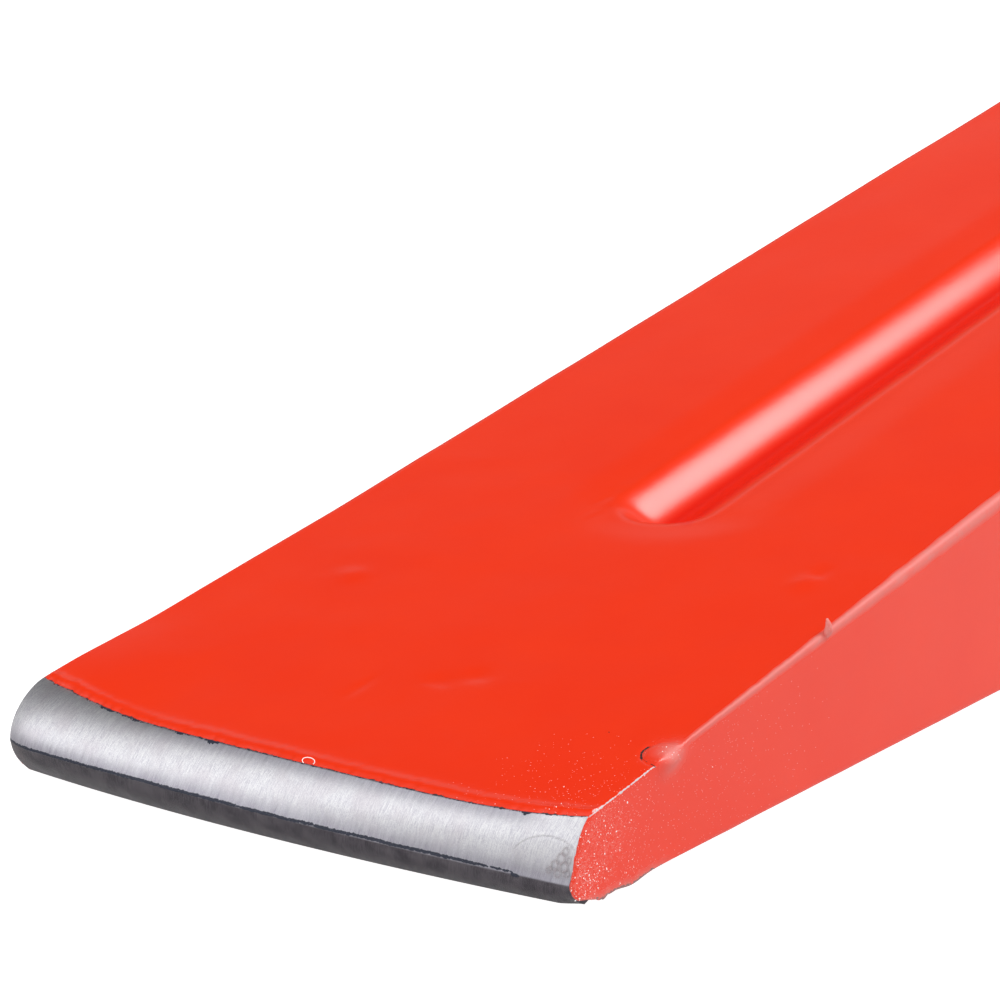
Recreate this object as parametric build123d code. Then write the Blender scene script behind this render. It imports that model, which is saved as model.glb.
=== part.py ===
"""Steel splitting wedge: a forged body, its coat of paint and the lacquer on its ground nose.

The wedge lies on one wide face. X runs along it, from the nose to the struck head, Y across it and Z up.
It is drawn with X = 0 at the shoulder, where the ground nose meets the corners of the wide faces, and is
moved at the end so that the origin is under the middle of its box.
"""

from build123d import *
from math import cos, radians, sin, sqrt, tan
import os

# Driving dimensions, in millimetres and degrees, over the paint
WIDTH = 50.0
FACE_LENGTH = 230.0
TAPER = 10.1
SHOULDER_THICKNESS = 6.3
CORNER_RADIUS = 0.6
HEAD_CHAMFER = 5.0

PAINT = 0.2
LACQUER = 0.1

# The groove pressed into each wide face: its lips stop short of the nose and of the head
GROOVE_WIDTH = 8.4
GROOVE_DEPTH = 2.2
GROOVE_START = 42.0
GROOVE_END = 198.0

# The ground nose in plan: at each height, where its front is on the right side, at mid-width and on the
# left side. Its sharpest line is at 2.3 mm. Ground by hand, it bulges in the middle and leans to the left.
NOSE_SECTIONS = (
    (-1.0, 0.2, -2.3, -0.9),
    (2.3, -2.1, -3.9, -4.4),
    (4.4, -1.4, -3.2, -4.2),
    (5.7, -0.4, -2.5, -2.7),
    (6.4, 0.3, -1.9, -0.3),
    (20.0, 10.0, 5.0, 10.0),
    (60.0, 10.0, 5.0, 10.0),
)

# How far the blank reaches past the shoulder before grinding, and the cutting space past the head
STOCK = 8.0
BEYOND = 60.0

APEX_X = -SHOULDER_THICKNESS / tan(radians(TAPER))
FACE_FROM_APEX = FACE_LENGTH - APEX_X
MID_PLANE = Plane(origin=(APEX_X, 0, 0), z_dir=(-sin(radians(TAPER / 2)), 0, cos(radians(TAPER / 2))))
GROOVE_RADIUS = (GROOVE_WIDTH**2 / 4 + GROOVE_DEPTH**2) / (2 * GROOVE_DEPTH)


def side_outline():
    """The wedge from the side: two wide faces of one length and a head square to the line between them."""
    rise = tan(radians(TAPER))
    head_top = (
        APEX_X + FACE_FROM_APEX * cos(radians(TAPER)),
        FACE_FROM_APEX * sin(radians(TAPER)),
    )
    stock_top = SHOULDER_THICKNESS - STOCK * rise
    return make_face(
        Polyline((-STOCK, 0), (FACE_LENGTH, 0), head_top, (-STOCK, stock_top), close=True)
    )


def wedge_blank(inset):
    """The wedge before its nose is ground, with every face moved in by the inset."""
    outline = side_outline()
    if inset:
        outline = offset(outline, -inset, kind=Kind.INTERSECTION)
    blank = extrude(Plane.XZ * outline, WIDTH / 2 - inset, both=True)
    head = blank.faces().sort_by(Axis.X)[-1]
    # The shorter leg keeps the coat as thick over the chamfer as it is on the faces.
    blank = chamfer(head.edges(), HEAD_CHAMFER - inset * (2 - sqrt(2)))
    long_edges = [edge for edge in blank.edges() if edge.length > FACE_LENGTH / 2]
    return fillet(long_edges, CORNER_RADIUS - inset)


def groove_cutters(inset):
    """One round-ended bar for each wide face, which leaves the groove when it is cut away."""
    radius = GROOVE_RADIUS + inset
    height = GROOVE_DEPTH - GROOVE_RADIUS
    start = (GROOVE_START + GROOVE_WIDTH / 2, 0, height)
    end = (GROOVE_END - GROOVE_WIDTH / 2, 0, height)
    bar = Plane(start, z_dir=(1, 0, 0)) * Cylinder(
        radius, end[0] - start[0], align=(Align.CENTER, Align.CENTER, Align.MIN)
    )
    lower = bar + Pos(*start) * Sphere(radius) + Pos(*end) * Sphere(radius)
    return lower, mirror(lower, about=MID_PLANE)


def nose_section(height, right, middle, left):
    """Everything behind the ground nose, at one height."""
    side = WIDTH / 2
    out = side + 1
    back = FACE_LENGTH + BEYOND
    front = ThreePointArc((right, -side), (middle, 0), (left, side))
    rest = Polyline(
        (left, side), (left, out), (back, out), (back, -out), (right, -out), (right, -side)
    )
    return Pos(0, 0, height) * make_face([front, rest])


def ground_space():
    """What the grinding wheel leaves: the space behind the nose."""
    return loft([nose_section(*section) for section in NOSE_SECTIONS], ruled=True)


def build():
    space = ground_space()
    outer = wedge_blank(0)
    core = wedge_blank(PAINT)
    for cutter in groove_cutters(0):
        outer -= cutter
    for cutter in groove_cutters(PAINT):
        core -= cutter
    film = (outer & Pos(-LACQUER, 0, 0) * space) - space
    painted = outer & space
    return {
        "wedge_forging": core & space,
        "paint_coat": painted - core,
        "edge_lacquer": film,
    }


def main():
    parts = build()
    box = Compound(list(parts.values())).bounding_box()
    to_origin = Pos(-box.center().X, -box.center().Y, -box.min.Z)
    os.makedirs("parts", exist_ok=True)
    for name, shape in parts.items():
        export_step(to_origin * shape, f"parts/{name}.step")
    print("box", box.size, "shoulder x", round(to_origin.position.X, 3))


main()
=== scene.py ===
"""Splitting wedge: its ground steel body, coat of red enamel, lacquered nose and the dust on it.

Lengths are in millimetres from the wedge's shoulder, where the ground nose meets the corners of
the upper wide face: X runs back to the struck head, Y to the left and Z up from the lower wide
face. The meshes are put into metres and into the frame's place as they are made.
"""

from math import cos, exp, hypot, pi, radians, sin, tan

import bpy
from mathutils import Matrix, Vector, noise


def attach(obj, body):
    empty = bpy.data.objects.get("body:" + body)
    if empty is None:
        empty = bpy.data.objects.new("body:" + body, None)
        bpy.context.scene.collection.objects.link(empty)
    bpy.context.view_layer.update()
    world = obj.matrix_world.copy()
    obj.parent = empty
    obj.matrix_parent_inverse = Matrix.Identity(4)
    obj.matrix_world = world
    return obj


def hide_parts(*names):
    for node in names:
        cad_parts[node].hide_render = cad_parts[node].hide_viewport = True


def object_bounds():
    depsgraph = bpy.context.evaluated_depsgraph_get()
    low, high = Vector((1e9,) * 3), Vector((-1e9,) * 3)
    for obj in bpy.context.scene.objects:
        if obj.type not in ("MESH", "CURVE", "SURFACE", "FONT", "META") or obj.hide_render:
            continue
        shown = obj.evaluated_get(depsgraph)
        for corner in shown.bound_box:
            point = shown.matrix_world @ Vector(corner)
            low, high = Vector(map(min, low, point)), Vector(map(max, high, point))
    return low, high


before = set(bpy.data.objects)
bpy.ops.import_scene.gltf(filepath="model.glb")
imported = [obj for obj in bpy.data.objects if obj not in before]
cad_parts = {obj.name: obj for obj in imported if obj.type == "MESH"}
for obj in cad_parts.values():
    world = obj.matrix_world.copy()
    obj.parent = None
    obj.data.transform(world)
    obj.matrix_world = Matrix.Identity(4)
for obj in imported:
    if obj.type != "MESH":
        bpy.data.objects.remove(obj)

cad_low, cad_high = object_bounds()

# -------------------------------------------------------------------------------------------- Sizes

MM = 0.001
HALF_WIDTH = 25.0
SHOULDER_HEIGHT = 6.3
TAPER = tan(radians(10.1))
HALF_TAPER = tan(radians(5.05))
HEAD_X = 230.0
HEAD_CHAMFER = 5.0
NOSE_REACH = 4.51
SHOULDER_X = cad_low.x / MM + NOSE_REACH

PAINT = 0.16
LACQUER = 0.03
# The hidden steel under the paint stays this far inside the painted surface, and its width is
# this share of the wedge's.
HIDDEN_INSET = 0.4
HIDDEN_SHARE = 0.97

GROOVE_WIDTH = 9.2
GROOVE_DEPTH = 2.25
# The groove's right wall is gentler than its left wall by this share.
GROOVE_RIGHT_SHARE = 0.86
GROOVE_START = 41.9
GROOVE_END = 198.0
# The faces sink a little towards the groove, starting this far outside it.
GROOVE_SINK = 0.2
GROOVE_SINK_REACH = 5.2

# The paint's edge on the upper wide face: X in the middle, and how far its corners are swept back
PAINT_EDGE_X = -2.1
PAINT_EDGE_SWEEP = 2.0
# The left corner of the face stands up behind the nose by this much.
LEFT_SWELL = 0.52
# The arris between the two bevels: X and height at the left, its sweep back and its fall to the
# right, and how far its left corner is rounded back
ARRIS_X = -4.9
ARRIS_HEIGHT = 2.9
ARRIS_SWEEP = 2.6
ARRIS_FALL = 1.0
ARRIS_CORNER = 0.92
# How far the middles of the upper and the lower bevel stand out from flat
UPPER_BEVEL_FULL = 0.43
LOWER_BEVEL_FULL = 0.4
BOTTOM_EDGE_X = -2.95
# From here on the sections lean towards the square head, fully so after the reach.
LEAN_START = 120
LEAN_REACH = 80


def clamp(value):
    return max(0.0, min(1.0, value))


def smooth(value):
    value = clamp(value)
    return value * value * (3 - 2 * value)


def mix(a, b, share):
    return a + (b - a) * share


def bump(distance, radius):
    """One at the middle, falling away smoothly within about the radius."""
    return exp(-((distance / radius) ** 2))


def rough(x, y, z, size, seed=0.0):
    """Smooth noise between about -1 and 1, with features of the given size."""
    return noise.noise(Vector((x / size + seed, y / size - seed, z / size + 2 * seed)))


def frange(start, stop, count):
    return [start + (stop - start) * i / count for i in range(count)]


# --------------------------------------------------------------------------------- The wedge's form


def top_height(x):
    return SHOULDER_HEIGHT + x * TAPER


def left_swell(x, y):
    """How far the left corner of the face stands up behind the nose."""
    return LEFT_SWELL * smooth((y - 13) / 12) * (1 - smooth((x - 1) / 13))


def face_height(x, y):
    return top_height(x) + left_swell(x, y)


def paint_line(y):
    """X of the paint's edge on the upper wide face, which is swept back at both sides."""
    return PAINT_EDGE_X + PAINT_EDGE_SWEEP * (abs(y) / HALF_WIDTH) ** (3.4 if y > 0 else 5)


def shoulder_height(y):
    """Where the upper bevel meets the paint."""
    return face_height(paint_line(y), y)


def arris_line(y):
    """X and Z of the arris between the two bevels, which falls to the right."""
    right = (HALF_WIDTH - y) / (2 * HALF_WIDTH)
    corner = ARRIS_CORNER * clamp((y - 21.5) / 3.5) ** 2
    x = ARRIS_X + ARRIS_SWEEP * max(0.0, right) ** 2.4 + corner
    return x, ARRIS_HEIGHT - ARRIS_FALL * right


def bottom_line(y):
    """Where the lower bevel meets the lower wide face."""
    if y > 6:
        return BOTTOM_EDGE_X + 0.9 * ((y - 6) / 19) ** 2
    return BOTTOM_EDGE_X + 1.9 * ((6 - y) / 31) ** 2


def nose_front(y, z):
    """X of the ground nose at a width and height: two bevels, the upper rolled over at the left."""
    x_arris, z_arris = arris_line(y)
    if z >= z_arris:
        share = clamp((z - z_arris) / (shoulder_height(y) - z_arris))
        ground = mix(x_arris, paint_line(y), share) - UPPER_BEVEL_FULL * sin(pi * share**1.35)
        rolled = mix(paint_line(y), x_arris, (1 - share**2) ** 0.7)
        return mix(ground, rolled, smooth((y - 4) / 21))
    share = clamp((z_arris - z) / z_arris)
    corner = 0.7 * smooth((-y - 23.2) / 1.8) * share**2
    return mix(x_arris, bottom_line(y), share) - LOWER_BEVEL_FULL * sin(pi * share) + corner


def groove_centre(x):
    return -0.3 + 0.012 * (x - GROOVE_START)


def groove_depth(x, y):
    """Depth of the forged groove: a round bottom, sloping walls and lips rounded well over."""
    radius = GROOVE_WIDTH / 2
    past_start = GROOVE_START + radius - x
    past_end = x - (GROOVE_END - radius)
    across = y - groove_centre(x)
    if across < 0:
        across *= GROOVE_RIGHT_SHARE
    away = hypot(across, max(0.0, past_start, past_end))
    hollow = cos(pi / 2 * min(1.0, away / radius)) ** 2
    sink = 1 - smooth((away - radius + 1) / GROOVE_SINK_REACH)
    return GROOVE_DEPTH * hollow + GROOVE_SINK * sink


def head_lean(x):
    """How far the sections lean forwards, for each unit of height, towards the struck head."""
    return HALF_TAPER * smooth((x - LEAN_START) / LEAN_REACH)


def to_frame(x, y, z):
    return ((x + SHOULDER_X) * MM, y * MM, z * MM)


def new_piece(name, vertices, faces, material, masks=None):
    """A mesh object in the frame's metres, with one float attribute for each mask."""
    mesh = bpy.data.meshes.new(name)
    mesh.from_pydata([to_frame(*v) for v in vertices], [], faces)
    for mask, values in (masks or {}).items():
        layer = mesh.attributes.new(mask, "FLOAT", "POINT")
        layer.data.foreach_set("value", values)
    mesh.polygons.foreach_set("use_smooth", [True] * len(mesh.polygons))
    mesh.materials.append(material)
    mesh.validate()
    piece = bpy.data.objects.new(name, mesh)
    bpy.context.collection.objects.link(piece)
    return piece


# ---------------------------------------------------------------------------------- Shader building


def node(tree, kind, inputs=None, **settings):
    """Adds a node, sets its options, and sets or links its inputs by name or number."""
    made = tree.nodes.new(kind)
    for key, value in settings.items():
        setattr(made, key, value)
    for key, value in (inputs or {}).items():
        socket = made.inputs[key]
        if isinstance(value, bpy.types.NodeSocket):
            tree.links.new(value, socket)
        else:
            socket.default_value = value
    return made


def maths(tree, operation, a, b=0.0, use_clamp=False):
    made = node(tree, "ShaderNodeMath", {0: a, 1: b}, operation=operation, use_clamp=use_clamp)
    return made.outputs[0]


def times_plus(tree, value, factor, addend):
    made = node(tree, "ShaderNodeMath", {0: value, 1: factor, 2: addend}, operation="MULTIPLY_ADD")
    return made.outputs[0]


def blend_colour(tree, share, a, b):
    made = node(tree, "ShaderNodeMix", {0: share, 6: a, 7: b}, data_type="RGBA")
    return made.outputs[2]


def blend_value(tree, share, a, b):
    made = node(tree, "ShaderNodeMix", {0: share, 2: a, 3: b}, data_type="FLOAT")
    return made.outputs[0]


def ramp(tree, value, low, high):
    """Zero below low, one above high, smooth between."""
    inputs = {0: value, 1: low, 2: high}
    made = node(tree, "ShaderNodeMapRange", inputs, interpolation_type="SMOOTHSTEP")
    return made.outputs[0]


def noise_value(tree, where, size_mm, detail=2.0, roughness=0.5):
    """A noise texture on object coordinates with features of the given size."""
    scale = 1 / (size_mm * MM)
    inputs = {"Vector": where, "Scale": scale, "Detail": detail, "Roughness": roughness}
    return node(tree, "ShaderNodeTexNoise", inputs).outputs["Fac"]


def mask(tree, name):
    return node(tree, "ShaderNodeAttribute", attribute_name=name).outputs["Fac"]


def group(name, inputs, outputs):
    """An empty shader node group: its inputs are floats, or vectors where no value is given."""
    tree = bpy.data.node_groups.new(name, "ShaderNodeTree")
    for socket, value in inputs.items():
        kind = "NodeSocketVector" if value is None else "NodeSocketFloat"
        made = tree.interface.new_socket(name=socket, in_out="INPUT", socket_type=kind)
        if value is not None:
            made.default_value = value
    for socket in outputs:
        tree.interface.new_socket(name=socket, in_out="OUTPUT", socket_type="NodeSocketFloat")
    return tree, tree.nodes.new("NodeGroupInput").outputs, tree.nodes.new("NodeGroupOutput").inputs


def place_group(tree, made_group, inputs):
    return node(tree, "ShaderNodeGroup", inputs, node_tree=made_group).outputs


def new_material(name):
    material = bpy.data.materials.new(name)
    material.use_nodes = True
    tree = material.node_tree
    tree.nodes.clear()
    surface = node(tree, "ShaderNodeBsdfPrincipled")
    out = node(tree, "ShaderNodeOutputMaterial")
    tree.links.new(surface.outputs[0], out.inputs[0])
    where = node(tree, "ShaderNodeTexCoord").outputs["Object"]
    return material, tree, surface, where


def bumped(tree, height, distance_mm):
    return node(tree, "ShaderNodeBump", {"Height": height, "Distance": distance_mm * MM}).outputs[0]


def speckled(tree, made_group, where, size_mm, mask_name):
    """Specks or dots of a given size, as thick as the piece's own mask says."""
    inputs = {"Vector": where, "Size mm": size_mm, "Amount": mask(tree, mask_name)}
    return place_group(tree, made_group, inputs)["Mask"]


# ------------------------------------------------------------------------------------------ Effects

# How far the belt's scratches lean from straight down the bevels
BELT_LEAN = radians(-10)


def grinding_group():
    """Scratches left by a grinding belt, running down the bevels, as a fine and a broad mask."""
    inputs = {"Vector": None, "Spacing mm": 0.2, "Length mm": 3.0}
    tree, given, out = group("belt_grinding", inputs, ("Fine", "Broad"))
    inputs = {"Vector": given["Vector"], "Rotation": (BELT_LEAN, 0, 0)}
    leaned = node(tree, "ShaderNodeMapping", inputs)
    across = maths(tree, "DIVIDE", 1 / MM, given["Spacing mm"])
    along = maths(tree, "DIVIDE", 1 / MM, given["Length mm"])
    stretch = node(tree, "ShaderNodeCombineXYZ", {0: along, 1: across, 2: along}).outputs[0]
    inputs = {0: leaned.outputs[0], 1: stretch}
    drawn = node(tree, "ShaderNodeVectorMath", inputs, operation="MULTIPLY").outputs[0]
    for name, scale, roughness in (("Fine", 1.0, 0.65), ("Broad", 0.16, 0.5)):
        inputs = {"Vector": drawn, "Scale": scale, "Detail": 3.0, "Roughness": roughness}
        scratches = node(tree, "ShaderNodeTexNoise", inputs)
        tree.links.new(scratches.outputs["Fac"], out[name])
    return tree


def speck_group():
    """Sharp-edged specks of a given size that thicken where the amount is high."""
    inputs = {"Vector": None, "Size mm": 0.3, "Amount": 0.5}
    tree, given, out = group("specks", inputs, ("Mask",))
    scale = maths(tree, "DIVIDE", 1 / MM, given["Size mm"])
    inputs = {"Vector": given["Vector"], "Scale": scale, "Detail": 3.0}
    grain = node(tree, "ShaderNodeTexNoise", inputs)
    level = maths(tree, "SUBTRACT", 1.0, maths(tree, "MULTIPLY", given["Amount"], 0.62))
    over = maths(tree, "SUBTRACT", grain.outputs["Fac"], level)
    tree.links.new(maths(tree, "MULTIPLY", over, 18.0, use_clamp=True), out["Mask"])
    return tree


def dot_group():
    """Round dots of dust, one to a cell at most, in as many of the cells as the amount says."""
    inputs = {"Vector": None, "Size mm": 0.2, "Amount": 0.5}
    tree, given, out = group("dust_dots", inputs, ("Mask",))
    scale = maths(tree, "DIVIDE", 1 / MM, given["Size mm"])
    cells = node(tree, "ShaderNodeTexVoronoi", {"Vector": given["Vector"], "Scale": scale})
    chance = node(tree, "ShaderNodeSeparateColor", {0: cells.outputs["Color"]})
    radius = times_plus(tree, chance.outputs[1], 0.3, 0.08)
    inside = ramp(tree, maths(tree, "SUBTRACT", radius, cells.outputs["Distance"]), 0.0, 0.06)
    chosen = maths(tree, "LESS_THAN", chance.outputs[0], given["Amount"])
    tree.links.new(maths(tree, "MULTIPLY", inside, chosen), out["Mask"])
    return tree


# ---------------------------------------------------------------------------------------- Materials

STEEL_SCRATCH = (0.5, 0.49, 0.55, 1)
STEEL_BRIGHT = (0.8, 0.8, 0.81, 1)
STEEL_STAIN = (0.52, 0.47, 0.52, 1)
# Painted shade at the bevels' edges, also taken by the belt's darkest streaks
STEEL_SHADE_AND_STREAKS = (0.27, 0.26, 0.31, 1)
# Painted shade: the lower bevel is painted dark where it reflects the shadowed floor under the nose,
# in a dark and a paler tone
LOWER_BEVEL_SHADE_DARK = (0.05, 0.043, 0.053, 1)
LOWER_BEVEL_SHADE_PALE = (0.125, 0.112, 0.125, 1)
FORGING_SCALE = (0.025, 0.03, 0.05, 1)

ENAMEL_DEEP = (0.85, 0.027, 0.002, 1)
ENAMEL_LIGHT = (0.89, 0.036, 0.003, 1)
# Painted shade in the groove: a deeper, darker red
ENAMEL_GROOVE_SHADE = (0.8, 0.011, 0.001, 1)
ENAMEL_CHIPPED = (0.05, 0.02, 0.02, 1)
# Dust, and the painted highlight on the nick's fold
ENAMEL_DUST_AND_HIGHLIGHT = (0.95, 0.55, 0.5, 1)
# Rubbed paint, a pale pinkish grey that is partly a painted highlight
ENAMEL_RUBBED_AND_HIGHLIGHT = (0.6, 0.32, 0.3, 1)
BARE_METAL = (0.68, 0.6, 0.61, 1)

LACQUER_DARK = (0.3, 0.25, 0.26, 1)
LACQUER_LIGHT = (0.42, 0.38, 0.4, 1)

DUST_PINK = (0.85, 0.7, 0.68, 1)
DUST_WHITE = (0.95, 0.93, 0.92, 1)
# The colour of the dust's painted glow
DUST_GLOW = (1.0, 0.9, 0.88, 1)


def ground_steel(belt, specks):
    material, tree, surface, where = new_material("ground_steel")
    lines = place_group(tree, belt, {"Vector": where, "Spacing mm": 0.05, "Length mm": 0.8})
    grain = noise_value(tree, where, 0.12, 3.0, 0.6)
    streaks = blend_value(tree, 0.3, lines["Fine"], grain)
    tone = blend_colour(tree, ramp(tree, streaks, 0.34, 0.64), STEEL_SCRATCH, STEEL_BRIGHT)
    cloud = ramp(tree, noise_value(tree, where, 2.2, 4.0), 0.42, 0.7)
    tone = blend_colour(tree, maths(tree, "MULTIPLY", cloud, 0.35), tone, STEEL_STAIN)
    # The bevels are painted darker as painted shade, towards the upper bevel's edges and over the
    # lower bevel, and streaked by the belt.
    drawn = blend_value(tree, 0.75, lines["Broad"], lines["Fine"])
    worn = times_plus(tree, mask(tree, "bevel_shade"), 1.2, maths(tree, "MULTIPLY", drawn, 2.4))
    bevel_shade = ramp(tree, worn, 1.2, 2.7)
    tone = blend_colour(tree, bevel_shade, tone, STEEL_SHADE_AND_STREAKS)
    # Painted shade: the lower bevel is painted dark with a mottled paler tone, standing for the
    # shadowed floor that it reflects.
    lower = mask(tree, "lower")
    shade_mottle = blend_value(tree, 0.5, noise_value(tree, where, 1.4, 3.0), lines["Fine"])
    under = blend_colour(tree, ramp(tree, shade_mottle, 0.35, 0.65), LOWER_BEVEL_SHADE_DARK, LOWER_BEVEL_SHADE_PALE)
    tone = blend_colour(tree, maths(tree, "MULTIPLY", lower, 0.96), tone, under)
    scale = speckled(tree, specks, where, 0.2, "scale")
    tone = blend_colour(tree, scale, tone, FORGING_SCALE)
    tree.links.new(tone, surface.inputs["Base Color"])
    metal = maths(tree, "SUBTRACT", 1.0, maths(tree, "MULTIPLY", scale, 0.6))
    tree.links.new(metal, surface.inputs["Metallic"])
    gloss = blend_value(tree, lines["Fine"], 0.46, 0.38)
    tree.links.new(blend_value(tree, scale, gloss, 0.6), surface.inputs["Roughness"])
    tree.links.new(bumped(tree, lines["Fine"], 0.008), surface.inputs["Normal"])
    return material


def red_enamel(specks, dots):
    material, tree, surface, where = new_material("red_enamel")
    cloud = noise_value(tree, where, 9.0, 3.0)
    red = blend_colour(tree, cloud, ENAMEL_DEEP, ENAMEL_LIGHT)
    # Painted shade: the groove's right-hand wall and floor are painted a deeper, darker red.
    red = blend_colour(tree, mask(tree, "groove_shade"), red, ENAMEL_GROOVE_SHADE)
    red = blend_colour(tree, speckled(tree, specks, where, 0.3, "thin"), red, ENAMEL_CHIPPED)
    fine = speckled(tree, dots, where, 0.12, "dust_and_highlight")
    haze = ramp(tree, noise_value(tree, where, 0.3, 3.0, 0.6), 0.35, 0.8)
    hazy = maths(tree, "MULTIPLY", ramp(tree, mask(tree, "dust_and_highlight"), 0.15, 0.8), 0.28)
    powder_and_highlight = maths(tree, "MAXIMUM", fine, maths(tree, "MULTIPLY", haze, hazy))
    # The dust colour also lays the painted highlight on the nick's fold.
    red = blend_colour(tree, maths(tree, "MULTIPLY", powder_and_highlight, 0.55), red, ENAMEL_DUST_AND_HIGHLIGHT)
    uneven = blend_value(tree, noise_value(tree, where, 0.35, 3.0), 0.5, 1.0)
    # Rubbed paint, partly a painted highlight on the arris and on the nick's fold.
    rubbed_and_highlight = maths(tree, "MULTIPLY", mask(tree, "rubbed_and_highlight"), uneven)
    red = blend_colour(tree, maths(tree, "MULTIPLY", rubbed_and_highlight, 0.65), red, ENAMEL_RUBBED_AND_HIGHLIGHT)
    bare = speckled(tree, specks, where, 0.25, "bare")
    red = blend_colour(tree, bare, red, BARE_METAL)
    tree.links.new(red, surface.inputs["Base Color"])
    tree.links.new(maths(tree, "MULTIPLY", bare, 0.4), surface.inputs["Metallic"])
    satin = blend_value(tree, noise_value(tree, where, 1.3, 2.0), 0.22, 0.28)
    matt = maths(tree, "MAXIMUM", maths(tree, "MAXIMUM", powder_and_highlight, rubbed_and_highlight), bare)
    tree.links.new(blend_value(tree, matt, satin, 0.7), surface.inputs["Roughness"])
    peel = noise_value(tree, where, 0.9, 2.0)
    tree.links.new(bumped(tree, peel, 0.006), surface.inputs["Normal"])
    surface.inputs["IOR"].default_value = 1.5
    return material


def clear_lacquer():
    material, tree, surface, where = new_material("clear_lacquer")
    dried = blend_colour(tree, noise_value(tree, where, 3.0, 2.0), LACQUER_DARK, LACQUER_LIGHT)
    tree.links.new(dried, surface.inputs["Base Color"])
    tree.links.new(maths(tree, "MULTIPLY", mask(tree, "body"), 0.65), surface.inputs["Alpha"])
    surface.inputs["Roughness"].default_value = 0.12
    surface.inputs["IOR"].default_value = 1.48
    return material


def dust_material():
    material, tree, surface, where = new_material("pale_dust")
    tone = blend_colour(tree, noise_value(tree, where, 0.8), DUST_PINK, DUST_WHITE)
    tree.links.new(tone, surface.inputs["Base Color"])
    surface.inputs["Roughness"].default_value = 0.9
    # The dust glows with a painted light, so it stays pale on a shaded side.
    surface.inputs["Emission Color"].default_value = DUST_GLOW
    surface.inputs["Emission Strength"].default_value = 0.25
    return material


# --------------------------------------------------------------------------------------- Paint coat

# Height of the bead of paint just behind the front edge
PAINT_BEAD = 0.18

# Shallow dents (negative) and swellings of the upper wide face: X, Y, radius along X and Y, height
FACE_MARKS = (
    (24.8, 15.0, 1.0, 1.3, 0.1),
    (9.2, 2.0, 1.6, 0.5, -0.05),
    (12.3, -2.9, 0.8, 1.3, -0.08),
    (14.1, -5.0, 0.9, 1.2, -0.12),
    (37.3, -18.9, 1.1, 1.0, 0.14),
    (38.9, -19.2, 0.9, 0.8, -0.12),
    (13.5, -9.0, 3.0, 4.0, 0.05),
    (30.0, 4.0, 6.0, 5.0, -0.06),
)

# The nick in the right-hand arris: its middle, half length along X and half width across the face
NICK_X = 9.6
NICK_LENGTH = 1.75
NICK_WIDTH = 2.1

# Thin dark paint, bare metal, dust and painted highlight, rubbed paint and painted highlight, and
# painted shade in the groove
COAT_MASKS = ("thin", "bare", "dust_and_highlight", "rubbed_and_highlight", "groove_shade")


def arris_radius(x, corner):
    """How far an arris is rounded. All of them are sharp at the nose and widen farther back."""
    if corner == "upper right":
        worn = 0.08 + 0.1 * smooth((x - 9) / 4) + 0.45 * smooth((x - 12) / 46)
        return worn * (1 + 0.25 * rough(x, 0, 0, 2.5)) + 0.65 * bump(x - NICK_X - 0.3, 1.2)
    if corner == "upper left":
        return mix(0.15, 0.9, smooth((x - 5) / 40))
    if corner == "lower right":
        return mix(0.12, 0.35, smooth(x / 20))
    return mix(0.25, 0.6, smooth(x / 20))


# The stretches that follow the upper wide face round a section, and how many spots each has
OTHER_STRETCHES = (
    ("upper left", 6), ("left", 14), ("lower left", 5), ("bottom", 84),
    ("lower right", 5), ("right", 30), ("upper right", 7),
)


def ring_spots():
    """The spots round one section, as the stretch that each is on and its share of the way along."""
    width = 2 * HALF_WIDTH
    spots = [("top", a / width) for a in frange(0, 2.6, 18) + frange(2.6, width, 226)]
    for stretch, count in OTHER_STRETCHES:
        spots += [(stretch, share) for share in frange(0, 1, count)]
    return spots


# The outward direction in Y and Z, a part of a quarter turn round each rounded arris
OUTWARDS = {
    "upper right": lambda turn: (-cos(turn), sin(turn)),
    "upper left": lambda turn: (sin(turn), cos(turn)),
    "lower left": lambda turn: (cos(turn), -sin(turn)),
    "lower right": lambda turn: (-sin(turn), -cos(turn)),
}


def section_point(spot, x):
    """Y, Z and the outward direction of a spot on the section at X."""
    stretch, share = spot
    height = face_height(x, HALF_WIDTH) if "left" in stretch else top_height(x)
    radius = {name: arris_radius(x, name) for name in OUTWARDS}
    turn = share * pi / 2
    if stretch == "top":
        y = mix(radius["upper right"] - HALF_WIDTH, HALF_WIDTH - radius["upper left"], share)
        return y, face_height(x, y), 0.0, 1.0
    if stretch == "bottom":
        y = mix(HALF_WIDTH - radius["lower left"], radius["lower right"] - HALF_WIDTH, share)
        return y, 0.0, 0.0, -1.0
    if stretch == "left":
        z = mix(height - radius["upper left"], radius["lower left"], share)
        return HALF_WIDTH, z, 1.0, 0.0
    if stretch == "right":
        z = mix(radius["lower right"], height - radius["upper right"], share)
        return -HALF_WIDTH, z, -1.0, 0.0
    r = radius[stretch]
    out_y, out_z = OUTWARDS[stretch](turn)
    side = 1 if "left" in stretch else -1
    level = height - r if "upper" in stretch else r
    return side * (HALF_WIDTH - r) + r * out_y, level + r * out_z, out_y, out_z


def paint_front(y, z):
    """X of the paint's ragged front edge: close behind the bevels, and farther back underneath."""
    ragged = 0.2 * rough(y, z, 0, 0.35, 3.0) + 0.14 * rough(y, z, 0, 1.6, 5.0)
    on_top = smooth((z - shoulder_height(y) + 0.8) / 0.8)
    behind = 1.3 * (1 - smooth(z / 0.6))
    return nose_front(y, z) + behind + 0.06 + ragged * mix(0.6, 1.0, on_top)


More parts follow.
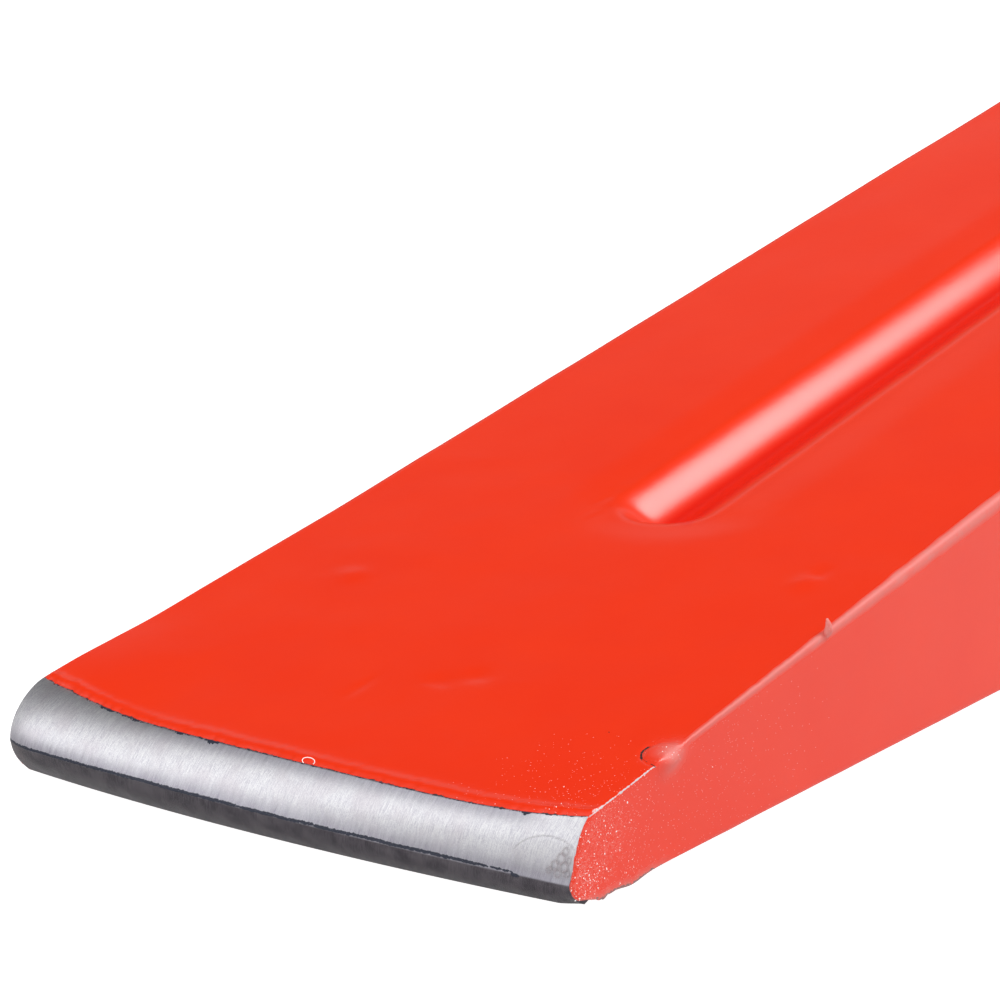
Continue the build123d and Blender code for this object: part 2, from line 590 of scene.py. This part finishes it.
# Distances behind the front edge of the first sections, then the start, end and number of the steps
# of each further run, which are closer at the nick, the burr and the groove's ends
FIRST_STATIONS = (0.0, 0.06, 0.15, 0.3, 0.5, 0.75, 1.0, 1.3, 1.6, 1.9, 2.2, 2.6, 3.0)
STATION_RUNS = (
    (3.4, 7.4, 10), (7.4, 11.8, 30), (11.8, 30, 30), (30, 32, 8), (32, 41, 10), (41, 49, 16),
    (49, 192, 44), (192, 207, 30), (207, HEAD_X - HEAD_CHAMFER, 8),
)


def stations():
    """Distances behind the front edge at which the sections of the coat are drawn."""
    steps = list(FIRST_STATIONS)
    for start, stop, count in STATION_RUNS:
        steps += frange(start, stop, count)
    return steps + [HEAD_X - HEAD_CHAMFER]


# The same distances for the plainer inner skin
INNER_STATIONS = (0.0, 0.6, 2.0, 5.0, 9.0, 14.0, 20.0, 30.0, 36.0, 40.0)
INNER_STATIONS += tuple(range(41, 50)) + (60.0, 190.0) + tuple(range(192, 205)) + (224.0,)


def coat_point(spot, distance):
    """X, Y, Z and the outward direction of a spot, at a distance behind the front edge."""
    lean = head_lean(distance)
    x = distance
    for _ in range(3):
        y, z, out_y, out_z = section_point(spot, x)
        start = paint_front(y, z) if distance < 9 else 0.0
        x = distance + start * (1 - smooth(distance / 9)) - z * lean
    y, z, out_y, out_z = section_point(spot, x)
    return x, y, z, out_y, out_z


def nick(x, y, z):
    """Shift in Y and Z, and crack depth, of the fold hammered over the upper right arris."""
    along = (x - NICK_X) / NICK_LENGTH
    across = (y + HALF_WIDTH) / NICK_WIDTH
    below = top_height(x) - z
    if abs(along) > 1.6 or across > 1.6 or below > 2.5:
        return 0.0, 0.0, 0.0
    reach = hypot(along, across) + 0.06 * rough(x, y, 0, 0.6, 5.0)
    on_top = smooth(1 - below / 0.4)
    # The crack closes towards the back of the fold.
    open_share = smooth((1.1 - along) / 1.2)
    crack = bump(reach - 1.0, 0.07) * on_top * open_share
    lift = 0.12 * smooth((1.0 - reach) * 3) * on_top
    bulge = -0.35 * bump(along - 0.1, 0.7) * bump(below - 0.4, 0.7) * smooth(1 - across * 2)
    return bulge, lift - 0.1 * crack, 1.25 * crack


def face_marks(x, y):
    marks = ((height, hypot((x - mx) / rx, (y - my) / ry)) for mx, my, rx, ry, height in FACE_MARKS)
    return sum(height * bump(away, 1.0) for height, away in marks)


def enamel_swell(stretch, distance, x, y, z):
    """How far the enamel stands out: slow waves, the bead at its edge, the marks and the groove."""
    swell = 0.05 * rough(x, y, z, 13.0, 1.0) + 0.02 * rough(x, y, z, 4.0, 2.0)
    swell *= smooth(distance / 4)
    if stretch == "top":
        swell += face_marks(x, y) - groove_depth(x, y)
        swell += PAINT_BEAD * bump(distance - 0.65, 0.55) * (0.8 + 0.5 * rough(y, 0, 0, 9.0, 4.0))
        swell += 0.05 * rough(x, y, 0, 0.45, 8.0) * bump(distance - 0.25, 0.35)
        # The left lip of the groove is rough where it begins.
        lip = bump(hypot((x - 48) / 8, (y - 4.2) / 1.2), 1.0)
        swell += 0.05 * lip * rough(x, y, 0, 0.9, 12.0)
    if stretch == "bottom":
        swell -= groove_depth(x, y)
    return swell - 0.1 * (1 - smooth(distance / 0.3))


def right_edge_wear(stretch, x, y, z):
    """Thin, bare, and rubbed-with-highlight shares of the right-hand edges, the painted highlight on
    the nick's fold, and their shift in Z.
    """
    below = top_height(x) - z
    from_arris = hypot(y + HALF_WIDTH, below)
    edge = bump(from_arris, 0.12) * smooth((9 - x) / 2) * (1.25 + 0.6 * rough(x, 0, 0, 0.5, 4.0))
    rim = hypot(y + HALF_WIDTH, z) + 0.15 * rough(x, 0, 0, 0.8, 2.0)
    under = smooth((11 - x) / 4)
    flecked = 1 + 0.4 * rough(x, z, 0, 0.5, 9.0)
    bare = max(edge, 0.68 * under * flecked * bump(rim, 0.42))
    # Along the arris the paint is chipped through on its upper side, and farther back rubbed pale,
    # partly as a painted highlight.
    radius = arris_radius(x, "upper right")
    chipped = bump(y + HALF_WIDTH - radius - 0.06, 0.06) * (stretch == "top")
    chipped *= smooth((abs(x - 9.8) - 1.6) / 0.4)
    chipped *= smooth((19 - x) / 6) * (1.25 + 0.8 * rough(x, 0, 0, 1.2, 13.0))
    thin = max(1.3 * under * flecked * bump(rim, 0.33), 1.2 * chipped)
    # Painted highlight: the fold over the nick is painted pale with the rubbed and dust colours.
    fold_highlight = bump(hypot(x - 10.1, 1.1 * from_arris), 1.25)
    beside = max(0.0, y + HALF_WIDTH - radius, below - radius)
    worn = bump(beside, 0.1) * smooth((x - 9) / 6) * (0.85 + 0.3 * rough(x, 0, 0, 1.5, 3.0))
    rubbed_and_highlight = max(worn, fold_highlight, under * bump(rim, 0.4))
    ripple = 0.06 * rough(x, 0, 0, 1.1, 6.0) * smooth((x - 10) / 6) * bump(from_arris, 1.0)
    flash = bump(x - 5.2, 1.6) + 0.7 * bump(x - 1.5, 1.2) * (1 + rough(x, 0, 0, 0.5))
    return thin, bare, rubbed_and_highlight, fold_highlight, ripple - 0.3 * flash * bump(hypot(y + HALF_WIDTH, z), 1.1)


def dust_share(stretch, x, y, z):
    """How thickly dust lies on the right-hand side near the nose, and on the face above it."""
    patchy = clamp(0.8 + 0.7 * rough(x, y, z, 2.5, 11.0))
    if stretch == "right":
        return 0.58 * smooth((9 - x) / 10) * patchy + 0.12 * smooth((34 - x) / 30)
    if stretch == "top":
        return 0.18 * smooth((12 - x) / 9) * smooth((-12 - y) / 10) * patchy
    return 0.0


def groove_shade_share(x, y):
    """Share of painted shade, a deeper, darker red, on the groove's right-hand wall and floor."""
    across = y - groove_centre(x)
    in_groove = smooth((1.5 - across) / 1.3) * smooth((across + 4.6) / 0.8)
    return in_groove * smooth((x - GROOVE_START - 0.5) / 1.5) * smooth((GROOVE_END - x) / 2)


def coat_relief(spot, distance, x, y, z, out_y, out_z):
    """The finished place of a coat vertex, and its masks in the order of COAT_MASKS."""
    stretch = spot[0]
    swell = enamel_swell(stretch, distance, x, y, z)
    shift_y, shift_z, crack = nick(x, y, z)
    thin = bare = rubbed_and_highlight = fold_highlight = 0.0
    if y < 0:
        thin, bare, rubbed_and_highlight, fold_highlight, lift = right_edge_wear(stretch, x, y, z)
        shift_z += lift
    front = bump(distance, 0.1) * clamp(0.8 + rough(y, 0, 0, 1.3, 7.0)) * (stretch == "top")
    thin = max(thin, crack, 1.2 * front)
    if stretch == "top":
        # A short dark hair lies on the face beside the nick.
        hair = hypot((x - 10.6) / 0.3, (y + 19.2 - 0.5 * (x - 10.6)) / 0.09)
        thin = max(thin, 1.2 * bump(hair, 1.0))
    # The dust colour also paints the fold's highlight.
    dust_and_highlight = max(0.6 * fold_highlight, dust_share(stretch, x, y, z))
    # Painted shade: a deeper, darker red on the groove's right-hand wall and floor.
    groove_shade = groove_shade_share(x, y) * (stretch == "top")
    placed_at = (x, y + swell * out_y + shift_y, z + swell * out_z + shift_z)
    return placed_at, thin, bare, dust_and_highlight, rubbed_and_highlight, groove_shade


def tube(rings):
    """Faces that join closed rings of equal length, one after the other."""
    count = len(rings[0])
    faces = []
    for ring, following in zip(rings, rings[1:]):
        for i in range(count):
            j = (i + 1) % count
            faces.append((ring[i], following[i], following[j], ring[j]))
    return faces


# Steps over the head chamfer and in across the struck face: how far inward and back from its start
HEAD_STEPS = (
    (0.25, 0.25), (0.6, 0.6), (1.2, 1.2), (2.5, 2.5), (3.8, 3.8), (4.5, 4.4),
    (4.9, 4.75), (5.6, 4.95), (7.5, 5.08), (11, 5.2), (15, 5.3), (20, 5.38),
)


def head_rings(last):
    """Rings of points that carry a section over the head chamfer and across the struck face."""
    centre_z = top_height(HEAD_X) / 2
    rings = []
    for inward, forward in HEAD_STEPS:
        ring = []
        for x, y, z in last:
            share_y = 1 - inward / HALF_WIDTH
            share_z = 1 - inward / centre_z
            new_z = centre_z + (z - centre_z) * share_z
            ring.append((x + forward - (new_z - z) * HALF_TAPER, y * share_y, new_z))
        rings.append(ring)
    return rings


def turned_over(faces):
    return [tuple(reversed(face)) for face in faces]


def closed_by_fan(ring, faces, middle, outwards):
    """Adds the faces from a ring to a vertex in its middle."""
    count = len(ring)
    for i in range(count):
        j = (i + 1) % count
        faces.append((ring[i], middle, ring[j]) if outwards else (ring[j], middle, ring[i]))


def build_coat(material):
    """The coat as a closed shell: its outer skin, its thin front edge and its inner skin."""
    spots = ring_spots()
    count = len(spots)
    vertices = []
    masks = {name: [] for name in COAT_MASKS}
    rings = []

    def add_ring(points, values=None):
        rings.append(list(range(len(vertices), len(vertices) + count)))
        vertices.extend(points)
        for number, name in enumerate(masks):
            masks[name].extend([v[number] for v in values] if values else [0.0] * count)

    def close_end(outwards):
        vertices.append(to_centre([vertices[i] for i in rings[-1]]))
        for name in masks:
            masks[name].append(0.0)
        closed_by_fan(rings[-1], faces, len(vertices) - 1, outwards)

    for distance in stations():
        made = []
        for spot in spots:
            made.append(coat_relief(spot, distance, *coat_point(spot, distance)))
        add_ring([m[0] for m in made], [m[1:] for m in made])
    for ring in head_rings([vertices[i] for i in rings[-1]]):
        add_ring(ring)
    faces = tube(rings)
    close_end(outwards=True)

    outer_first = rings[0]
    rings = []
    for distance in INNER_STATIONS:
        points = []
        for spot in spots:
            x, y, z, out_y, out_z = coat_point(spot, distance)
            place = coat_relief(spot, distance, x, y, z, out_y, out_z)[0]
            points.append((place[0], place[1] - PAINT * out_y, place[2] - PAINT * out_z))
        add_ring(points)
    faces += turned_over(tube(rings))
    faces += turned_over(tube([outer_first, rings[0]]))
    close_end(outwards=False)
    return new_piece("red_paint_coat", vertices, faces, material, masks)


def to_centre(points):
    return tuple(sum(p[axis] for p in points) / len(points) for axis in range(3))


# --------------------------------------------------------------------------------------- Steel body


def scale_by_paint(y, distance):
    """Black forging scale along the paint's edge: clumps towards the left, a thin line elsewhere."""
    clumps = clamp(0.35 + 2.0 * rough(y, 0, 0, 1.5, 9.0))
    clumps *= smooth((y - 3) / 4) * (1 - smooth((y - 22.5) / 2))
    pit = bump(y + 20.6, 0.28)
    width = 0.13 + 0.3 * clumps + 0.26 * pit
    strength = 0.95 + 0.3 * clumps + 0.5 * pit + 0.6 * rough(y, 0, 0, 0.5, 2.0)
    return strength * bump(distance / width, 1.0)


def nose_marks(y, z):
    """How far the belt left the nose high, and its masks of scale, of painted shade on the lower
    bevel and of painted shade at the upper bevel's edges.
    """
    _, z_arris = arris_line(y)
    edge = shoulder_height(y)
    streak = 0.002 * rough(y * 1.6, z * 0.12, 0, 1.0, 2.0) + 0.01 * rough(y, z * 0.3, 0, 7.0, 4.0)
    away = z - z_arris
    share = clamp(away / (edge - z_arris))
    broken = clamp(1.1 + 0.6 * rough(y, 0, 0, 1.6, 8.0)) * mix(0.9, 1.0, smooth((y + 24) / 8))
    seam = away - 0.06 - 0.07 * smooth(-y / 12) + 0.06 * rough(y, 0, 0, 2.5, 6.0)
    # The seam runs out where the lacquer dried, and ends in a small slot.
    run_out = smooth((y + 21.5) / 6)
    scale = 1.35 * bump(seam, 0.1 + 0.07 * run_out) * broken
    scale *= mix(0.95, 1.0, run_out) * smooth((y + 21.5) / 1.5)
    scale = max(scale, 1.6 * bump(hypot((y + 20.7) / 0.5, (away + 0.05) / 0.17), 1.0))
    from_paint = hypot(edge - z, paint_line(y) - nose_front(y, z))
    scale = max(scale, scale_by_paint(y, from_paint))
    # Painted shade: darker at the top of the upper bevel, less so towards its corners, and from its
    # foot down over the lower bevel.
    towards_corners = max(smooth((y - 6) / 12), smooth((-20 - y) / 3))
    top_shade = 0.8 * (1 - smooth((1 - share) / 0.34)) * mix(1.0, 0.15, towards_corners)
    low_shade = 0.85 * (1 - smooth(share / 0.5))
    # The third mask is the lower bevel's painted shade, the fourth the painted shade at the upper
    # bevel's edges.
    return streak, scale, 1 - smooth((away + 0.1) / 0.2), max(top_shade, low_shade)


def nose_heights(y):
    """Heights down the nose, closer together at the shoulder and at the arris."""
    _, z_arris = arris_line(y)
    top = shoulder_height(y) - 0.02
    near_arris = [z_arris + 0.42 - 0.06 * i for i in range(13)]
    near_top = [top - 0.06 * i for i in range(8)]
    between = [mix(near_top[-1], near_arris[0], (i + 1) / 29) for i in range(28)]
    lower = [mix(near_arris[-1], 0.05, i / 16) for i in range(1, 17)]
    return near_top + between + near_arris + lower


def hidden_top(distance, paint, y):
    """A point of the hidden steel under the upper wide face."""
    x = distance + paint
    x -= face_height(x, y) * head_lean(distance)
    return x, y, face_height(x, y) - groove_depth(x, y) - HIDDEN_INSET


# Distances behind the paint's edge of the hidden steel's points, closer at the ends of the groove
HIDDEN_STATIONS = (
    2, 6, 12, 25, 38, 41, 42, 43, 44, 45, 46, 48,
    60, 100, 130, 150, 170, 188, 191, 194, 197, 199, 210, 222,
)


def build_steel(material):
    """The steel body, a closed solid lofted across its width. The paint hides all but its nose."""
    side = HALF_WIDTH - PAINT * 0.9
    widths = [-side + 0.04 * i for i in range(4)]
    widths += [mix(-side + 0.16, side - 0.16, i / 330) for i in range(331)]
    widths += [side - 0.12 + 0.04 * i for i in range(4)]
    vertices, rows = [], []
    masks = {"scale": [], "lower": [], "bevel_shade": []}

    def add(row, x, y, z, *values):
        row.append(len(vertices))
        vertices.append((x, y, z))
        for name, value in zip(masks, values or (0.0, 0.0, 0.0)):
            masks[name].append(value)

    for y in widths:
        row = []
        paint = paint_line(y)
        for x in reversed(HIDDEN_STATIONS):
            add(row, *hidden_top(x, paint, y * HIDDEN_SHARE))
        add(row, paint + 0.4, y, face_height(paint + 0.4, y) - 0.2, 1.0, 0.0, 0.5)
        add(row, paint + 0.05, y, face_height(paint + 0.05, y) - 0.03, 1.0, 0.0, 0.5)
        for z in nose_heights(y):
            high, *values = nose_marks(y, z)
            add(row, nose_front(y, z) - high, y, z, *values)
        # The lower bevel's painted shade is full at its foot.
        add(row, bottom_line(y) + 0.6, y, 0.03, 0.0, 1.0, 0.0)
        for x in HIDDEN_STATIONS:
            inner = y * HIDDEN_SHARE
            add(row, x + paint + 1.5, inner, HIDDEN_INSET + groove_depth(x + paint + 1.5, inner))
        rows.append(row)
    faces = tube(rows) + [tuple(rows[0]), tuple(reversed(rows[-1]))]
    return new_piece("ground_steel_body", vertices, faces, material, masks)


# ------------------------------------------------------------------------------------- Lacquer film

# Bubbles dried into the drop of lacquer: Y, Z, radius
BUBBLES = (
    (-24.25, 4.12, 0.2),
    (-24.0, 3.62, 0.27),
    (-23.6, 3.12, 0.24),
    (-24.3, 3.1, 0.26),
    (-23.25, 2.75, 0.16),
    (-23.9, 2.6, 0.2),
    (-24.55, 2.7, 0.18),
    (-24.6, 3.55, 0.16),
)


def drop_edge(y, z):
    """Share of the way in from the outline of the dried drop, below zero outside it."""
    return 1 - hypot((y + 22.9) / 2.6, (z - 3.0) / 1.9)


def film_height(y, z):
    """How far the lacquer stands off the steel, and how much it shows."""
    _, z_arris = arris_line(y)
    inside = drop_edge(y, z)
    above = smooth((z - z_arris - 0.1) / 0.4)
    rim = bump(inside, 0.022) * above * smooth((z - 3.4) / 0.8)
    height = LACQUER + above * 0.04 * smooth(inside * 3) + 0.02 * rim
    body = 0.04 + 0.09 * smooth(inside * 5) * above + 0.45 * rim
    for by, bz, radius in BUBBLES:
        ring = bump(hypot(y - by, (z - bz) * 0.8) - radius, 0.07) * above
        height += 0.06 * ring
        body += 0.6 * ring
    return height, min(1.0, body)


# Steps down the film, from the paint to the lower edge of the nose
FILM_ROWS = 70


def build_film(material):
    """The lacquer as a thin closed sheet over both bevels."""
    side = HALF_WIDTH - 0.22
    # Half of the columns are for the dried drop and its bubbles.
    widths = frange(-side, -19.0, 90) + frange(-19.0, side, 90) + [side]
    outer, inner, body = [], [], []
    for y in widths:
        z_high = shoulder_height(y) - 0.15
        for i in range(FILM_ROWS + 1):
            z = mix(z_high, 0.12, i / FILM_ROWS)
            high = nose_marks(y, z)[0]
            height, shows = film_height(y, z)
            edge = smooth(i / 3) * smooth((FILM_ROWS - i) / 3)
            x = nose_front(y, z) - high
            outer.append((x - 0.012 - height * edge, y, z))
            inner.append((x - 0.008, y, z))
            body.append(shows * edge)
    columns = FILM_ROWS + 1
    rows = len(widths)
    total = len(outer)
    faces = []
    for r in range(rows - 1):
        for c in range(FILM_ROWS):
            a = r * columns + c
            b = a + columns
            faces.append((a, b, b + 1, a + 1))
            faces.append((total + a, total + a + 1, total + b + 1, total + b))
    rim = list(range(columns))
    rim += [r * columns + FILM_ROWS for r in range(1, rows)]
    rim += [(rows - 1) * columns + c for c in range(FILM_ROWS - 1, -1, -1)]
    rim += [r * columns for r in range(rows - 2, 0, -1)]
    for i, a in enumerate(rim):
        b = rim[(i + 1) % len(rim)]
        faces.append((a, b, total + b, total + a))
    masks = {"body": body + [0.0] * total}
    return new_piece("clear_lacquer_film", outer + inner, faces, material, masks)


# ------------------------------------------------------------------------------------ Dust and lint

# Name, grains to the square metre where the dust lies thickest, smallest and largest radius, and
# random seed
DUSTS = (
    ("strewn_dust", 4.0e7, 0.012, 0.06, 7),
    ("strewn_crumbs", 2.2e6, 0.05, 0.11, 3),
)


def dust_tree():
    """Grains of dust strewn over a surface, thickest where its dust mask is high."""
    tree = bpy.data.node_groups.new("strewn_dust", "GeometryNodeTree")
    sockets = (
        ("Surface", "Geometry"), ("Most per m2", "Float"), ("Smallest", "Float"),
        ("Largest", "Float"), ("Seed", "Int"), ("Finish", "Material"),
    )
    for name, kind in sockets:
        tree.interface.new_socket(name=name, in_out="INPUT", socket_type=f"NodeSocket{kind}")
    tree.interface.new_socket(name="Grains", in_out="OUTPUT", socket_type="NodeSocketGeometry")
    given = tree.nodes.new("NodeGroupInput").outputs
    inputs = {"Name": "dust_and_highlight"}
    amount = node(tree, "GeometryNodeInputNamedAttribute", inputs, data_type="FLOAT").outputs[0]
    share = maths(tree, "POWER", amount, 3.0)
    density = maths(tree, "MULTIPLY", share, given["Most per m2"])
    inputs = {"Mesh": given["Surface"], "Density": density, "Seed": given["Seed"]}
    strewn = node(tree, "GeometryNodeDistributePointsOnFaces", inputs)
    grain = node(tree, "GeometryNodeMeshIcoSphere", {"Radius": 1.0, "Subdivisions": 1})
    inputs = {2: given["Smallest"], 3: given["Largest"]}
    size = node(tree, "FunctionNodeRandomValue", inputs, data_type="FLOAT")
    inputs = {0: (0.5, 0.5, 0.4), 1: (1.5, 1.1, 1.0)}
    shape = node(tree, "FunctionNodeRandomValue", inputs, data_type="FLOAT_VECTOR")
    inputs = {0: shape.outputs[0], "Scale": size.outputs[1]}
    scaled = node(tree, "ShaderNodeVectorMath", inputs, operation="SCALE")
    inputs = {1: (2 * pi, 2 * pi, 2 * pi)}
    turn = node(tree, "FunctionNodeRandomValue", inputs, data_type="FLOAT_VECTOR")
    inputs = {
        "Points": strewn.outputs["Points"], "Instance": grain.outputs["Mesh"],
        "Scale": scaled.outputs[0], "Rotation": turn.outputs[0],
    }
    laid = node(tree, "GeometryNodeInstanceOnPoints", inputs)
    real = node(tree, "GeometryNodeRealizeInstances", {"Geometry": laid.outputs[0]})
    inputs = {"Geometry": real.outputs[0], "Material": given["Finish"]}
    finished = node(tree, "GeometryNodeSetMaterial", inputs)
    tree.links.new(finished.outputs[0], tree.nodes.new("NodeGroupOutput").inputs[0])
    return tree


def grown(name, surface, tree, inputs):
    """The plain mesh object that a Geometry Nodes tree makes on a surface."""
    host = bpy.data.objects.new(name, surface.data.copy())
    bpy.context.collection.objects.link(host)
    modifier = host.modifiers.new(name, "NODES")
    modifier.node_group = tree
    for item in tree.interface.items_tree:
        if item.in_out == "INPUT" and item.name in inputs:
            modifier[item.identifier] = inputs[item.name]
    evaluated = host.evaluated_get(bpy.context.evaluated_depsgraph_get())
    mesh = bpy.data.meshes.new_from_object(evaluated)
    host.modifiers.remove(modifier)
    host.data = mesh
    mesh.name = name
    return host


def build_dust(name, tree, coat, material, grains_per_m2, smallest, largest, seed):
    inputs = {
        "Most per m2": grains_per_m2, "Smallest": smallest * MM, "Largest": largest * MM,
        "Seed": seed, "Finish": material,
    }
    return grown(name, coat, tree, inputs)


LINT_RADIUS = 0.03
LINT_STEPS = 40
LINT_SIDES = 6

# The burr stands on the upper right arris at this distance from the shoulder.
BURR_X = 30.6
BURR_HEIGHT = 1.5
BURR_SIDES = 14
BURR_LEVELS = 12


def rings_of(vertices, sides):
    """The numbers of the vertices, in rings of as many as there are sides."""
    return [list(range(start, start + sides)) for start in range(0, len(vertices), sides)]


def build_lint(material):
    """A curled pale fibre caught on the paint's edge."""
    path = []
    for i in range(LINT_STEPS + 1):
        turn = radians(mix(-60, 200, i / LINT_STEPS))
        x = paint_line(-2.0) + 0.16 + 0.27 * sin(turn)
        y = -2.1 + 0.52 * cos(turn)
        path.append(Vector((x, y, top_height(x) + 0.06 + 0.2 * sin(pi * i / LINT_STEPS))))
    vertices = []
    for i, point in enumerate(path):
        along = (path[min(i + 1, LINT_STEPS)] - path[max(i - 1, 0)]).normalized()
        across = along.cross(Vector((0, 0, 1))).normalized()
        up = across.cross(along)
        for k in range(LINT_SIDES):
            angle = 2 * pi * k / LINT_SIDES
            vertices.append(tuple(point + LINT_RADIUS * (cos(angle) * across + sin(angle) * up)))
    rings = rings_of(vertices, LINT_SIDES)
    faces = tube(rings) + [tuple(rings[0]), tuple(reversed(rings[-1]))]
    return new_piece("lint_fibre", vertices, faces, material)


def build_burr(material):
    """A small burr of lifted paint that stands up on the upper right arris."""
    foot = Vector((BURR_X, 0.16 - HALF_WIDTH, top_height(BURR_X) - 0.55))
    vertices = []
    for level in range(BURR_LEVELS + 1):
        share = level / BURR_LEVELS
        wide = 0.34 * sin(pi * mix(0.06, 0.94, share)) ** 0.6 * mix(1.0, 0.55, share)
        for k in range(BURR_SIDES):
            angle = 2 * pi * k / BURR_SIDES
            stray = 1 + 0.3 * rough(k, level, 0, 3.0, 1.0)
            x = 1.5 * wide * cos(angle) * stray + 0.12 * share
            y = wide * sin(angle) * stray - 0.2 * sin(pi * share)
            vertices.append(tuple(foot + Vector((x, y, BURR_HEIGHT * share))))
    rings = rings_of(vertices, BURR_SIDES)
    faces = turned_over(tube(rings)) + [tuple(reversed(rings[0])), tuple(rings[-1])]
    shares = {name: 1.0 if name in ("dust_and_highlight", "rubbed_and_highlight") else 0.0 for name in COAT_MASKS}
    masks = {name: [share] * len(vertices) for name, share in shares.items()}
    return new_piece("paint_burr", vertices, faces, material, masks)


# ----------------------------------------------------------------------------- Stage, light, camera


# The soft boxes face this point on the wedge, from this many metres away.
LIGHT_AIM = (30, 0, 10)
LIGHT_DISTANCE = 0.9
# Name, direction from the point they face, width and height in metres, and brightness
LIGHTS = (
    ("key_softbox", (0.605, -0.32, 0.736), (0.34, 0.5), 9.4),
    ("front_softbox", (-0.6, 0.56, 0.55), (0.8, 0.75), 0.95),
    ("top_fill", (-0.55, -0.25, 0.9), (1.1, 1.1), 0.75),
)

# Half side of the floor, and how far it lies below the wedge's CAD, in metres
FLOOR_HALF = 6.0
FLOOR_DROP = 0.0003
FLOOR_GREY = (0.35, 0.35, 0.35, 1)

# The camera's place, its lens and sensor, and its heading and downward angle in degrees
CAMERA_PLACE = (-192.5, -157.7, 90.5)
CAMERA_LENS = 132.0
CAMERA_SENSOR = 36.0
CAMERA_HEADING = 36.08
CAMERA_DOWN = 14.89

WHITE = (1, 1, 1, 1)


def area_light(name, towards, size, radiance):
    """A soft box in the given direction from the wedge, facing it, with the given brightness."""
    direction = Vector(towards).normalized()
    data = bpy.data.lights.new(name, "AREA")
    data.shape = "RECTANGLE"
    data.size, data.size_y = size
    data.energy = radiance * size[0] * size[1] * pi
    light = bpy.data.objects.new(name, data)
    light.location = Vector(to_frame(*LIGHT_AIM)) + direction * LIGHT_DISTANCE
    light.rotation_mode = "QUATERNION"
    light.rotation_quaternion = direction.to_track_quat("Z", "Y")
    bpy.context.collection.objects.link(light)


def light_and_world():
    for light in LIGHTS:
        area_light(*light)
    world = bpy.data.worlds.new("studio")
    bpy.context.scene.world = world
    world.use_nodes = True
    tree = world.node_tree
    tree.nodes.clear()
    direction = node(tree, "ShaderNodeTexCoord").outputs["Generated"]
    height = node(tree, "ShaderNodeSeparateXYZ", {0: direction}).outputs[2]
    inputs = {0: height, 1: 0.25, 2: 0.6, 3: 1.0, 4: 0.38}
    bright = node(tree, "ShaderNodeMapRange", inputs).outputs[0]
    # The studio is dark beyond the struck head, with a faint glow low down and a bright horizon.
    glow = maths(tree, "MULTIPLY", ramp(tree, height, 0.48, 0.36), ramp(tree, height, 0.25, 0.36))
    dim = maths(tree, "MAXIMUM", times_plus(tree, glow, 0.5, 0.06), ramp(tree, height, 0.08, 0.02))
    inputs = {0: direction, 1: (0.74, 0.67, 0.0)}
    beyond = node(tree, "ShaderNodeVectorMath", inputs, operation="DOT_PRODUCT")
    level = blend_value(tree, ramp(tree, beyond.outputs["Value"], 0.35, 0.7), bright, dim)
    seen = node(tree, "ShaderNodeLightPath").outputs["Is Camera Ray"]
    strength = blend_value(tree, seen, level, 1.0)
    light = node(tree, "ShaderNodeBackground", {"Color": WHITE, "Strength": strength})
    out = node(tree, "ShaderNodeOutputWorld")
    tree.links.new(light.outputs[0], out.inputs[0])


def build_floor():
    """A wide pale floor that is bright enough to run into the white background."""
    mesh = bpy.data.meshes.new("floor")
    turns = ((-1, -1), (1, -1), (1, 1), (-1, 1))
    corners = [(FLOOR_HALF * x, FLOOR_HALF * y, cad_low.z - FLOOR_DROP) for x, y in turns]
    mesh.from_pydata(corners, [], [(0, 1, 2, 3)])
    floor = bpy.data.objects.new("floor", mesh)
    bpy.context.collection.objects.link(floor)
    material, tree, surface, _ = new_material("pale_floor")
    surface.inputs["Base Color"].default_value = FLOOR_GREY
    surface.inputs["Roughness"].default_value = 0.8
    surface.inputs["Emission Color"].default_value = WHITE
    seen = node(tree, "ShaderNodeLightPath").outputs["Is Camera Ray"]
    tree.links.new(blend_value(tree, seen, 0.4, 1.0), surface.inputs["Emission Strength"])
    mesh.materials.append(material)


def build_camera():
    data = bpy.data.cameras.new("camera")
    data.sensor_width = CAMERA_SENSOR
    data.lens = CAMERA_LENS
    data.clip_start = 0.01
    camera = bpy.data.objects.new("camera", data)
    camera.location = to_frame(*CAMERA_PLACE)
    camera.rotation_euler = (radians(90 - CAMERA_DOWN), 0, radians(CAMERA_HEADING - 90))
    bpy.context.collection.objects.link(camera)
    bpy.context.scene.camera = camera


# ----------------------------------------------------------------------------------------- Assembly

build_camera()
build_floor()
light_and_world()
bpy.context.scene.view_settings.view_transform = "Standard"

belt = grinding_group()
specks = speck_group()
steel_body = build_steel(ground_steel(belt, specks))
coat = build_coat(red_enamel(specks, dot_group()))
film = build_film(clear_lacquer())
dust_finish = dust_material()
grains = dust_tree()
dusts = [build_dust(name, grains, coat, dust_finish, *numbers) for name, *numbers in DUSTS]
lint = build_lint(dust_finish)
burr = build_burr(coat.data.materials[0])

for piece in (steel_body, coat, film, *dusts, lint, burr):
    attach(piece, "root")
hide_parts("wedge_forging")
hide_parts("paint_coat")
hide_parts("edge_lacquer")
